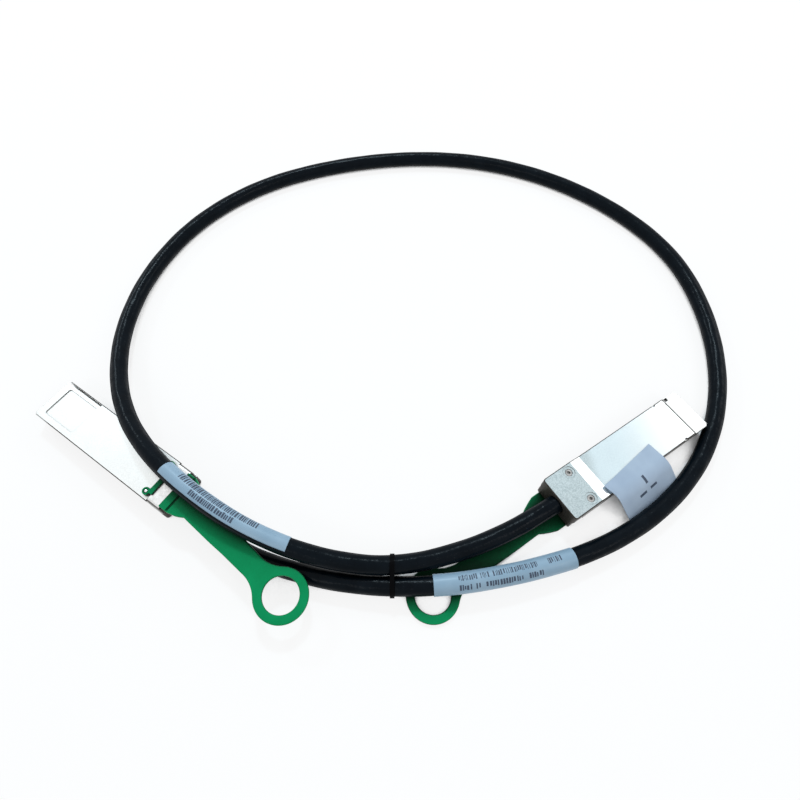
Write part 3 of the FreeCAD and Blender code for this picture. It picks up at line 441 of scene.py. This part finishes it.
# The route of the cable, as in the part's source, in metres.
ROUTE = (
    (-0.07971, 0.00549, 0.00507),
    (-0.06288, -0.00620, 0.00567),
    (-0.0475, -0.0210, 0.0050),
    (-0.0280, -0.0281, 0.0042),
    (-0.0045, -0.0332, 0.0043),
    (0.0240, -0.0344, 0.0064),
    (0.0560, -0.0295, 0.0057),
    (0.0880, -0.0200, 0.0038),
    (0.1155, -0.0035, 0.0036),
    (0.1365, 0.0200, 0.0036),
    (0.1490, 0.0500, 0.0036),
    (0.1525, 0.0850, 0.0036),
    (0.1455, 0.1210, 0.0036),
    (0.1235, 0.1515, 0.0036),
    (0.0920, 0.1750, 0.0036),
    (0.0550, 0.1885, 0.0036),
    (0.0155, 0.1910, 0.0036),
    (-0.0250, 0.1840, 0.0036),
    (-0.0615, 0.1690, 0.0036),
    (-0.0900, 0.1435, 0.0036),
    (-0.1065, 0.1115, 0.0037),
    (-0.1110, 0.0795, 0.0052),
    (-0.1065, 0.0520, 0.0082),
    (-0.0960, 0.0295, 0.0127),
    (-0.0810, 0.0114, 0.0163),
    (-0.0625, -0.0040, 0.0173),
    (-0.0410, -0.0170, 0.0150),
    (-0.0170, -0.0252, 0.0103),
    (0.0100, -0.0284, 0.0087),
    (0.0385, -0.0212, 0.0068),
    (0.06283, -0.00980, 0.00737),
    (0.07986, 0.00160, 0.00678),
)


def route_points():
    """Points along the route's NURBS line, with no bevel."""
    data = bpy.data.curves.new("route", "CURVE")
    data.dimensions = "3D"
    data.resolution_u = 40
    spline = data.splines.new("NURBS")
    spline.points.add(len(ROUTE) - 1)
    for point, spot in zip(spline.points, ROUTE):
        point.co = (*spot, 1)
    spline.order_u = 3
    spline.use_endpoint_u = True
    line = bpy.data.objects.new("route", data)
    mesh = bpy.data.meshes.new_from_object(line)
    points = [vertex.co.copy() for vertex in mesh.vertices]
    bpy.data.objects.remove(line)
    return points


FRAME_STEP = 0.8 * MM                   # how far either side of a spot its heading is taken


class Line:
    """The cable's centreline: place and frame at any distance along it."""

    def __init__(self, points):
        self.points = points
        self.passed = [0.0]
        for first, second in zip(points, points[1:]):
            self.passed.append(self.passed[-1] + (second - first).length)
        self.length = self.passed[-1]

    def at(self, distance):
        distance = min(max(distance, 0.0), self.length)
        low, high = 0, len(self.passed) - 1
        while high - low > 1:
            middle = (low + high) // 2
            if self.passed[middle] <= distance:
                low = middle
            else:
                high = middle
        share = (distance - self.passed[low]) / (self.passed[high] - self.passed[low])
        return self.points[low].lerp(self.points[high], share)

    def frame(self, distance):
        """Centre, forward, left and up."""
        ahead, behind = self.at(distance + FRAME_STEP), self.at(distance - FRAME_STEP)
        forward = (ahead - behind).normalized()
        left = Vector((0, 0, 1)).cross(forward).normalized()
        return self.at(distance), forward, left, forward.cross(left)

    def nearest(self, spot):
        """The distance along the line at which it passes closest to a spot."""
        gaps = [(point - spot).length for point in self.points]
        return self.passed[gaps.index(min(gaps))]


line = Line(route_points())


def add_mesh(name, verts, faces, materials, smooth=True):
    mesh = bpy.data.meshes.new(name)
    mesh.from_pydata([tuple(v) for v in verts], [], faces)
    mesh.update()
    if smooth:
        mesh.shade_smooth()
    obj = bpy.data.objects.new(name, mesh)
    scene.collection.objects.link(obj)
    paint(obj, *materials)
    return obj


def tube_faces(bands, sides):
    """Quads between rings of points, band by band."""
    faces = []
    for i in range(bands):
        for k in range(sides):
            a = i * sides + k
            b = i * sides + (k + 1) % sides
            faces.append((a, b, b + sides, a + sides))
    return faces


def sheet_faces(columns, rows, turned=False):
    """Quads of a grid of points, column by column; turned, they face the other way."""
    faces = []
    for i in range(columns):
        for j in range(rows):
            a = i * (rows + 1) + j
            b = a + rows + 1
            faces.append((a, a + 1, b + 1, b) if turned else (a, b, b + 1, a + 1))
    return faces


def apply_modifiers(obj):
    graph = bpy.context.evaluated_depsgraph_get()
    mesh = bpy.data.meshes.new_from_object(obj.evaluated_get(graph))
    obj.modifiers.clear()
    obj.data = mesh


# ---------------------------------------------------------------- cable

CABLE_RADIUS = 3.5 * MM
CABLE_INSET = 0.035 * MM                # keeps the raised parts inside that radius
LOBES = 5                               # ridges where the pairs show through the jacket
LOBE_HEIGHT = 0.028 * MM
LOBE_WANDER = (0.6, 60)                 # radians, and radians per metre
PAIRS_LAY = 0.085                       # metres for one turn of the pairs
SWELL_HEIGHT = 0.006 * MM
SWELL_PACE = (97, 41)                   # radians per metre


def add_cable():
    """Round jacket with the faint lay of the pairs inside it, its sheet coordinates in metres."""
    rings = 1200
    sides = 36
    draw = random.Random(7)
    phases = [draw.uniform(0, 2 * math.pi) for _ in range(3)]
    verts = []
    for i in range(rings + 1):
        distance = line.length * i / rings
        centre, _, left, up = line.frame(distance)
        twist = 2 * math.pi * distance / PAIRS_LAY
        wander = LOBE_WANDER[0] * math.sin(distance * LOBE_WANDER[1] + phases[2])
        swell = sum(math.sin(distance * pace + phase) for pace, phase in zip(SWELL_PACE, phases))
        for k in range(sides):
            angle = 2 * math.pi * k / sides
            lobe = math.cos(LOBES * (angle - twist) + wander)
            radius = CABLE_RADIUS - CABLE_INSET + LOBE_HEIGHT * lobe + SWELL_HEIGHT * swell
            verts.append(centre + (left * math.sin(angle) + up * math.cos(angle)) * radius)
    faces = tube_faces(rings, sides)
    spots = [spot for i in range(rings) for k in range(sides)
             for spot in ((i, k), (i, k + 1), (i + 1, k + 1), (i + 1, k))]
    faces.append(tuple(range(sides)))
    faces.append(tuple(rings * sides + k for k in reversed(range(sides))))
    spots += [(0, 0)] * (2 * sides)
    cable = add_mesh("cable_round", verts, faces, (JACKET,))
    sheet = cable.data.uv_layers.new(name="sheet")
    around = 2 * math.pi * CABLE_RADIUS / sides
    for corner, (i, k) in zip(sheet.data, spots):
        corner.uv = (line.length * i / rings, around * k)
    return cable


# ---------------------------------------------------------------- wrap labels

# Length in millimetres, arc in degrees and outer radius of the two labels.
SERIAL_LENGTH, SERIAL_ARC, SERIAL_RADIUS = 54.5, (-38, 192), 3.67 * MM
LENGTH_LENGTH, LENGTH_ARC, LENGTH_RADIUS = 52.0, (-178, 178), 3.82 * MM
FILM_CELL = (0.25, 0.35)                # a cell of the sheet, along and around, in millimetres
FILM_THICKNESS = 0.1 * MM
FILM_LIFT = 0.05 * MM                   # how far the film's edges stand off
FILM_LIFT_REACH = 0.8                   # millimetres from the edge
FILM_WAVE = 0.02 * MM
THIN = (0.25, 0.5)                      # widths of strokes and gaps, in millimetres
BARS = (0.25, 0.5, 0.5, 0.75)
THICK = (0.5, 0.75)
GAPS = (0.25, 0.25, 0.5)
RAGGED = 0.35                           # how far some strokes fall short
BAR_BAND, BAR_SPANS = (1.2, 4.1), [(7.5, 42.0)]
NUMBER_BAND, NUMBER_SPANS = (-1.45, 0.7), [(14.7, 33.3)]
UPPER_BAND = (0.1, 2.2)
UPPER_SPANS = [(8.8, 15.2), (16.5, 20.0), (21.0, 31.0), (31.6, 37.2), (41.6, 46.7)]
LOWER_BAND = (-3.55, -1.4)
LOWER_SPANS = [(8.8, 13.1), (14.6, 16.3), (17.9, 31.2), (33.5, 38.7)]


def print_strokes(seed, spans, band, wide, apart, ragged):
    """Plain upright strokes that fill each span: (u0, u1, v0, v1), millimetres of the label."""
    low, high = band
    draw = random.Random(seed)
    marks = []
    for begin, end in spans:
        u = begin
        while u < end:
            width = draw.choice(wide)
            top = high - ragged * draw.choice((0, 0, 0, 1))
            foot = low + ragged * draw.choice((0, 0, 0, 1))
            marks.append((u, u + width, foot, top))
            u += width + draw.choice(apart)
    return marks


def marked(u, v, marks):
    """Whether a spot of the sheet lies in one of the marks."""
    return any(u0 < u < u1 and v0 < v < v1 for u0, u1, v0, v1 in marks)


def wrap_label(name, begin, length, arc_span, radius, marks, node):
    """A film label round the cable over an arc, degrees from the top, positive to the left
    of the line.  Marks are dark strokes on its face."""
    first, last = arc_span
    step_u, step_v = FILM_CELL
    columns = round(length / step_u)
    arc = math.radians(last - first) * radius / MM
    rows = round(arc / step_v)
    verts = []
    for i in range(columns + 1):
        along = begin + i * step_u * MM
        centre, _, left, up = line.frame(along)
        for j in range(rows + 1):
            angle = math.radians(first + (last - first) * j / rows)
            edge = min(j, rows - j) / rows * arc
            lift = FILM_LIFT * max(0.0, 1 - edge / FILM_LIFT_REACH)
            wave = FILM_WAVE * math.sin(i * 0.07 + j * 0.3)
            reach = radius + lift + wave
            verts.append(centre + (left * math.sin(angle) + up * math.cos(angle)) * reach)
    label = add_mesh(name, verts, sheet_faces(columns, rows), (FILM, INK))
    for index, polygon in enumerate(label.data.polygons):
        u = (index // rows + 0.5) * step_u
        v = math.radians(first) * radius / MM + (index % rows + 0.5) * arc / rows
        polygon.material_index = int(marked(u, v, marks))
    shell = label.modifiers.new("shell", "SOLIDIFY")
    shell.thickness = FILM_THICKNESS
    shell.offset = -1
    apply_modifiers(label)
    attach(label, "cable_and_plugs")
    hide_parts(node)
    return label


def add_labels():
    bars = print_strokes(3, BAR_SPANS, BAR_BAND, BARS, GAPS, 0)
    number = print_strokes(5, NUMBER_SPANS, NUMBER_BAND, THICK, GAPS, RAGGED)
    start = line.nearest(Vector((-0.07590, 0.00720, 0.0165))) + 2.8 * MM
    first = wrap_label("label_serial", start, SERIAL_LENGTH, SERIAL_ARC, SERIAL_RADIUS,
                       bars + number, "wrap_label_a")
    upper = print_strokes(11, UPPER_SPANS, UPPER_BAND, THIN, THIN, RAGGED)
    lower = print_strokes(17, LOWER_SPANS, LOWER_BAND, THICK, GAPS, RAGGED)
    start = line.nearest(Vector((0.0262, -0.0335, 0.0059))) - 1.9 * MM
    second = wrap_label("label_length", start, LENGTH_LENGTH, LENGTH_ARC, LENGTH_RADIUS,
                        upper + lower, "wrap_label_b")
    return [first, second]


cable = add_cable()
labels = add_labels()
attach(cable, "cable_and_plugs")
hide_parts("cable_jacket")


# ---------------------------------------------------------------- how the connectors lie

# Each one's axis to the nose, the middle of its rear face, and its own upward side.
PLACE_A = (Vector((-0.8208, 0.57047, -0.02923)), Vector((-0.0708, -0.0007, 0.01039)),
           Vector((0.024, -0.01668, -0.99957)))
PLACE_B = (Vector((0.83064, 0.55606, -0.02897)), Vector((0.0706, -0.0046, 0.0021)),
           Vector((0.02407, 0.01612, 0.99958)))


def in_place(place, x, y, z):
    """A point given in a connector's own millimetres."""
    axis, origin, up = place
    return origin + (axis * x + up.cross(axis) * y + up * z) * MM


# ---------------------------------------------------------------- pull tabs

TAB_VOXEL = 0.2 * MM
# From here on in millimetres of the connector.
LEAN_A, LEAN_B = -0.6, 0.0              # how far a tab leans to its side
LEAN_START, LEAN_RISE = 2.0, 5.0        # behind the rear face
LEAN_END, LEAN_FADE = 30.0, 18.0
RIVET_X, RIVET_Y = 8.8, 6.3
RIVET_PROFILE = ((0.35, -1.7), (0.62, -1.6), (0.76, -1.4), (0.78, -0.3))    # radius, height
RIVET_CROWN = -1.72


def pull_tab(tag, name, place, lean):
    """The moulded tab with its blends softened; the part behind the strap leans a little."""
    axis, origin, up = place
    across = up.cross(axis)
    tab = bpy.data.objects.new(name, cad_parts[tag + "pull_tab"].data.copy())
    scene.collection.objects.link(tab)
    skin = tab.modifiers.new("skin", "REMESH")
    skin.mode = "VOXEL"
    skin.voxel_size = TAB_VOXEL
    soften = tab.modifiers.new("soften", "SMOOTH")
    soften.factor = 0.5
    soften.iterations = 6
    apply_modifiers(tab)
    for vertex in tab.data.vertices:
        back = -(vertex.co - origin).dot(axis) / MM
        if back > LEAN_START:
            rise = min(1.0, (back - LEAN_START) / LEAN_RISE)
            fade = max(0.0, min(1.0, (LEAN_END - back) / LEAN_FADE))
            vertex.co += across * (lean * MM * rise * rise * fade)
    tab.data.shade_smooth()
    paint(tab, GREEN)
    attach(tab, tag + "latch")
    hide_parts(tag + "pull_tab")


def rivet(name, tag, place, spot):
    """Small domed rivet in a boss of the front bar; spot is in the connector's millimetres."""
    sides = 28
    verts = []
    for radius, z in RIVET_PROFILE:
        for k in range(sides):
            angle = 2 * math.pi * k / sides
            x = spot[0] + radius * math.cos(angle)
            y = spot[1] + radius * math.sin(angle)
            verts.append(in_place(place, x, y, z))
    verts.append(in_place(place, *spot, RIVET_CROWN))
    faces = [((k + 1) % sides, k, len(verts) - 1) for k in range(sides)]
    faces += tube_faces(len(RIVET_PROFILE) - 1, sides)
    head = add_mesh(name, verts, faces, (STEEL,))
    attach(head, tag + "latch")


def return_springs(tag):
    """A copy of the springs, shown in place of the CAD's own."""
    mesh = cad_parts[tag + "return_springs"].data.copy()
    coils = bpy.data.objects.new(tag + "coils", mesh)
    scene.collection.objects.link(coils)
    paint(coils, SCREW)
    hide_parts(tag + "return_springs")
    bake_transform(coils)


def add_pull_tabs():
    pull_tab("plug_a_", "tab_a_moulding", PLACE_A, LEAN_A)
    pull_tab("plug_b_", "tab_b_moulding", PLACE_B, LEAN_B)
    for tag, place in (("plug_a_", PLACE_A), ("plug_b_", PLACE_B)):
        rivet(tag + "rivet_right", tag, place, (RIVET_X, -RIVET_Y))
        rivet(tag + "rivet_left", tag, place, (RIVET_X, RIVET_Y))
        return_springs(tag)


add_pull_tabs()


# ---------------------------------------------------------------- paper flag

# Millimetres of the connector.
FLAG_NEAR = Vector((45.3, -2.1))        # stuck corner nearest the nose
FLAG_WIDTH = 26.6
FLAG_HEIGHT = 19.3
FLAG_THICKNESS = 0.12
FLAG_REST = 8.62                        # height of the stuck part
FLAG_TURN = math.radians(6.7)
FLAG_FOLD = -9.36                       # where it turns over the side of the housing
FLAG_SLOPE = math.radians(41.5)
FLAG_BEND = 6.0                         # length over which it curves down
FLAG_LEAD = 0.7                         # how far inside the edge the curve begins
FLAG_LOOSE = 20.5                       # from here on its rear corner has come unstuck
FLAG_CURL = 1.1                         # how high that corner stands
FLAG_WAVES = ((0.22, 0.28, 0.0, 0.6), (0.12, 0.55, 0.3, 0.0))   # height, pace in u and v, phase
FLAG_MARKS = ((12.2, 13.4, 6.4, 9.9), (8.9, 12.3, 12.1, 13.2), (14.4, 17.9, 12.1, 13.2))


def flag_point(u, v):
    """A point of the sheet, in the connector's own millimetres."""
    edge = Vector((-math.cos(FLAG_TURN), -math.sin(FLAG_TURN)))
    down = Vector((math.sin(FLAG_TURN), -math.cos(FLAG_TURN)))
    flat = FLAG_NEAR + edge * u + down * v
    past = (FLAG_FOLD - flat.y) / math.cos(FLAG_TURN)
    x, y = flat
    z = FLAG_REST
    if past > -FLAG_LEAD:
        curved = min(past + FLAG_LEAD, FLAG_BEND)
        angle = FLAG_SLOPE * curved / FLAG_BEND
        rest = max(0.0, past + FLAG_LEAD - FLAG_BEND)
        run = FLAG_BEND * math.sin(angle) / FLAG_SLOPE + rest * math.cos(FLAG_SLOPE)
        x, y = flat + down * (run - past - FLAG_LEAD)
        z -= FLAG_BEND * (1 - math.cos(angle)) / FLAG_SLOPE + rest * math.sin(FLAG_SLOPE)
        wave = sum(height * math.sin(u * pace_u + v * pace_v + phase)
                   for height, pace_u, pace_v, phase in FLAG_WAVES)
        z += min(1.0, rest / FLAG_BEND) * wave
    if past < 1.0:
        loose = max(0.0, u - FLAG_LOOSE) / (FLAG_WIDTH - FLAG_LOOSE)
        curl = loose * loose * min(1.0, (1.0 - past) / 3)
        z += FLAG_CURL * curl
        x -= curl
    return x, y, z


def add_flag():
    columns = 96
    rows = 72
    verts = [in_place(PLACE_B, *flag_point(FLAG_WIDTH * i / columns, FLAG_HEIGHT * j / rows))
             for i in range(columns + 1) for j in range(rows + 1)]
    faces = sheet_faces(columns, rows, turned=True)
    flag = add_mesh("flag_sheet", verts, faces, (PAPER, INK))
    for index, polygon in enumerate(flag.data.polygons):
        u = FLAG_WIDTH * (index // rows + 0.5) / columns
        v = FLAG_HEIGHT * (index % rows + 0.5) / rows
        polygon.material_index = int(marked(u, v, FLAG_MARKS))
    paper = flag.modifiers.new("paper", "SOLIDIFY")
    paper.thickness = FLAG_THICKNESS * MM
    paper.offset = 0
    apply_modifiers(flag)
    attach(flag, "cable_and_plugs")
    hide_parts("flag_label")


add_flag()


# ---------------------------------------------------------------- materials on the frame

paint_frame()


# ---------------------------------------------------------------- floor, world and lamps

FLOOR_REACH = 3.0
FLOOR_GLOW = 1.04                       # for the eye and reflections only
NOOK_REACH = 14 * MM
SKY_STRENGTH = 0.55
# Name, place, point aimed at, size, watts and colour.
LAMPS = (
    ("key", (-0.35, -0.6, 0.7), (0, 0.04, 0), (0.2, 0.2), 0.6, (1.0, 0.995, 0.98)),
    ("fill", (0.6, -0.35, 0.75), (0, 0.04, 0), (0.12, 0.3), 0.8, (1.0, 0.99, 0.97)),
    ("streak", (-0.05, 0.7, 0.9), (0, 0.05, 0), (0.13, 0.09), 4.2, (0.7, 0.89, 1.0)),
    ("glint", (-0.7, 0.74, 0.61), (-0.05, 0.05, 0), (0.1, 0.1), 1.5, (0.72, 0.89, 1.0)),
    ("soft", (-0.55, 0.38, 0.76), (-0.08, 0.03, 0), (0.5, 0.5), 0.12, (1, 1, 1)),
    ("low", (0.74, 0.47, 0.5), (0.1, 0.02, 0), (0.34, 0.3), 0.95, (0.95, 0.98, 1.0)),
)


def seen_by_eye(tree):
    """1 for camera, glossy and transmission rays."""
    path = tree.nodes.new("ShaderNodeLightPath")
    total = None
    for name in ("Is Camera Ray", "Is Glossy Ray", "Is Transmission Ray"):
        if total is None:
            total = path.outputs[name]
            continue
        either = tree.nodes.new("ShaderNodeMath")
        either.operation = "MAXIMUM"
        tree.links.new(total, either.inputs[0])
        tree.links.new(path.outputs[name], either.inputs[1])
        total = either.outputs[0]
    return total


def mix_shaders(tree, share, first, second, output):
    """The first shader, and the second one for the given share."""
    mix = tree.nodes.new("ShaderNodeMixShader")
    tree.links.new(share, mix.inputs["Fac"])
    tree.links.new(first.outputs[0], mix.inputs[1])
    tree.links.new(second.outputs[0], mix.inputs[2])
    tree.links.new(mix.outputs[0], tree.nodes[output].inputs["Surface"])


def add_floor():
    """White where it lies open to the eye, and shaded close in under the cable."""
    corners = [(x * FLOOR_REACH, y * FLOOR_REACH, 0)
               for x, y in ((-1, -1), (1, -1), (1, 1), (-1, 1))]
    floor = add_mesh("floor", corners, [(0, 1, 2, 3)], (), smooth=False)
    m = Nodes("pale_floor", (0.86, 0.86, 0.86), 0.9)
    glow = m.add("Emission", Strength=FLOOR_GLOW)
    glow.inputs["Color"].default_value = (1, 1, 1, 1)
    white = m.eased(m.openness(NOOK_REACH, 8), 0.2, 0.38, 0.0, 0.8)
    share = m.add("Math", operation="MULTIPLY")
    m.link(seen_by_eye(m.tree), share.inputs[0])
    m.link(white, share.inputs[1])
    mix_shaders(m.tree, share.outputs[0], m.shader, glow, "Material Output")
    floor.data.materials.append(m.material)


def add_world():
    """A plain pale sky that lights the part, in front of a white backdrop."""
    world = bpy.data.worlds.new("studio")
    world.use_nodes = True
    scene.world = world
    tree = world.node_tree
    fill = tree.nodes["Background"]
    fill.inputs["Color"].default_value = (0.93, 0.97, 1.0, 1)
    fill.inputs["Strength"].default_value = SKY_STRENGTH
    backdrop = tree.nodes.new("ShaderNodeBackground")
    backdrop.inputs["Color"].default_value = (1, 1, 1, 1)
    backdrop.inputs["Strength"].default_value = 1.0
    mix_shaders(tree, seen_by_eye(tree), fill, backdrop, "World Output")


def add_lamp(name, place, aim, size, watts, colour):
    data = bpy.data.lights.new(name, "AREA")
    data.shape = "RECTANGLE"
    data.size, data.size_y = size
    data.energy = watts
    data.color = colour
    lamp = bpy.data.objects.new(name, data)
    lamp.location = place
    lamp.rotation_euler = (Vector(aim) - Vector(place)).to_track_quat("-Z", "Y").to_euler()
    scene.collection.objects.link(lamp)


add_floor()
add_world()
for lamp in LAMPS:
    add_lamp(*lamp)
scene.view_settings.view_transform = "Standard"
